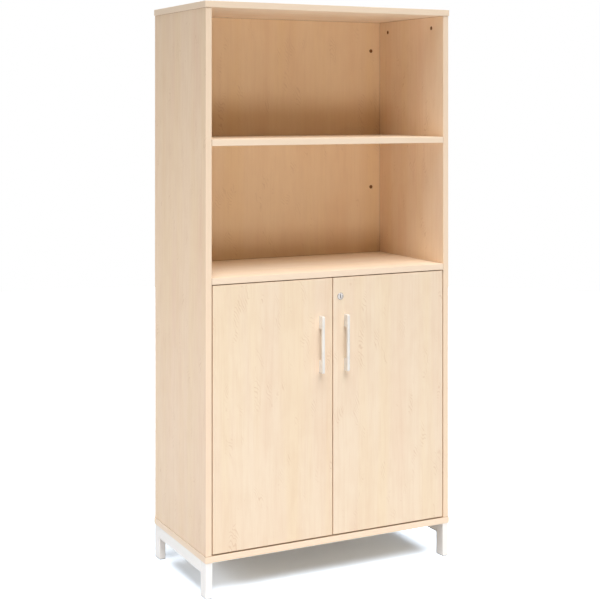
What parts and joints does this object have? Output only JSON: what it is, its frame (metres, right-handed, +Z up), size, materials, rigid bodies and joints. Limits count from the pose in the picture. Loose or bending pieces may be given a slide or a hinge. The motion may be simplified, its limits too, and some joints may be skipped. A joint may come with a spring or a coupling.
{
  "type": "bookcase with cabinet doors",
  "caption": "Tall pale birch bookcase: open bays above a cabinet with inset hinged doors, lock, bow handles and a slide bolt, on white steel leg frames.",
  "frame": {"origin": "on the floor, below the middle of the whole object's box", "axes": "+X to the right seen from the front, +Y from the doors to the back, +Z up"},
  "size_m": [0.8, 0.42, 1.654],
  "materials": {
    "birch_board": "melamine faced board, pale birch print, satin, edges banded to match",
    "white_steel": "white powder coat, satin",
    "satin_silver": "satin silver, fine brushed",
    "satin_nickel": "satin nickel plate",
    "bronzed_cam": "die-cast zinc, brown",
    "zinc_steel": "bright zinc plated steel",
    "beech_dowel": "raw beech",
    "glide_plastic": "pale grey moulded plastic"
  },
  "bodies": {
    "carcass": {"top_panel": "birch_board", "bottom_panel": "birch_board", "left_side_panel": "birch_board", "right_side_panel": "birch_board", "back_panel": "birch_board", "open_shelf": "birch_board", "middle_shelf": "birch_board", "cabinet_shelf": "birch_board", "side_cam_bolts": "zinc_steel", "shelf_cam_bolts": "zinc_steel", "back_cam_bolts": "zinc_steel", "frame_screws": "zinc_steel", "shelf_pins": "zinc_steel", "bolt_strike": "zinc_steel", "strike_screws": "zinc_steel", "left_hinge_arms": "zinc_steel", "left_arm_screws": "zinc_steel", "left_mounting_plates": "zinc_steel", "left_plate_screws": "zinc_steel", "right_hinge_arms": "zinc_steel", "right_arm_screws": "zinc_steel", "right_mounting_plates": "zinc_steel", "right_plate_screws": "zinc_steel", "side_cams": "bronzed_cam", "shelf_cams": "bronzed_cam", "back_cams": "bronzed_cam", "left_front_leg": "white_steel", "left_rear_leg": "white_steel", "left_rail": "white_steel", "right_front_leg": "white_steel", "right_rear_leg": "white_steel", "right_rail": "white_steel", "panel_dowels": "beech_dowel", "foot_glides": "glide_plastic"},
    "left_door": {"left_door": "birch_board", "left_handle": "satin_silver", "left_handle_screws": "zinc_steel", "left_hinge_cups": "zinc_steel", "left_hinge_pins": "zinc_steel", "left_cup_screws": "zinc_steel", "bolt_guide": "zinc_steel", "guide_screws": "zinc_steel"},
    "right_door": {"right_door": "birch_board", "right_handle": "satin_silver", "right_handle_screws": "zinc_steel", "right_hinge_cups": "zinc_steel", "right_hinge_pins": "zinc_steel", "right_cup_screws": "zinc_steel", "lock_barrel": "satin_nickel", "lock_nut": "zinc_steel"},
    "lock_core": {"lock_core": "satin_nickel", "lock_cam": "zinc_steel", "lock_cam_screw": "zinc_steel"},
    "slide_bolt": {"slide_bolt": "zinc_steel"}
  },
  "joints": [
    {"name": "left_door_swing", "type": "hinge", "parent": "carcass", "child": "left_door", "pos_m": [-0.36387, -0.179, 0.4935], "axis": [0, 0, -1], "range_deg": [0, 95]},
    {"name": "right_door_swing", "type": "hinge", "parent": "carcass", "child": "right_door", "pos_m": [0.36387, -0.179, 0.4935], "axis": [0, 0, 1], "range_deg": [0, 95]},
    {"name": "lock_turn", "type": "hinge", "parent": "right_door", "child": "lock_core", "pos_m": [0.025, -0.179, 0.811], "axis": [0, 1, 0], "range_deg": [0, 90]},
    {"name": "bolt_slide", "type": "slide", "parent": "left_door", "child": "slide_bolt", "axis": [0, 0, 1], "range_m": [0, 0.014]}
  ]
}
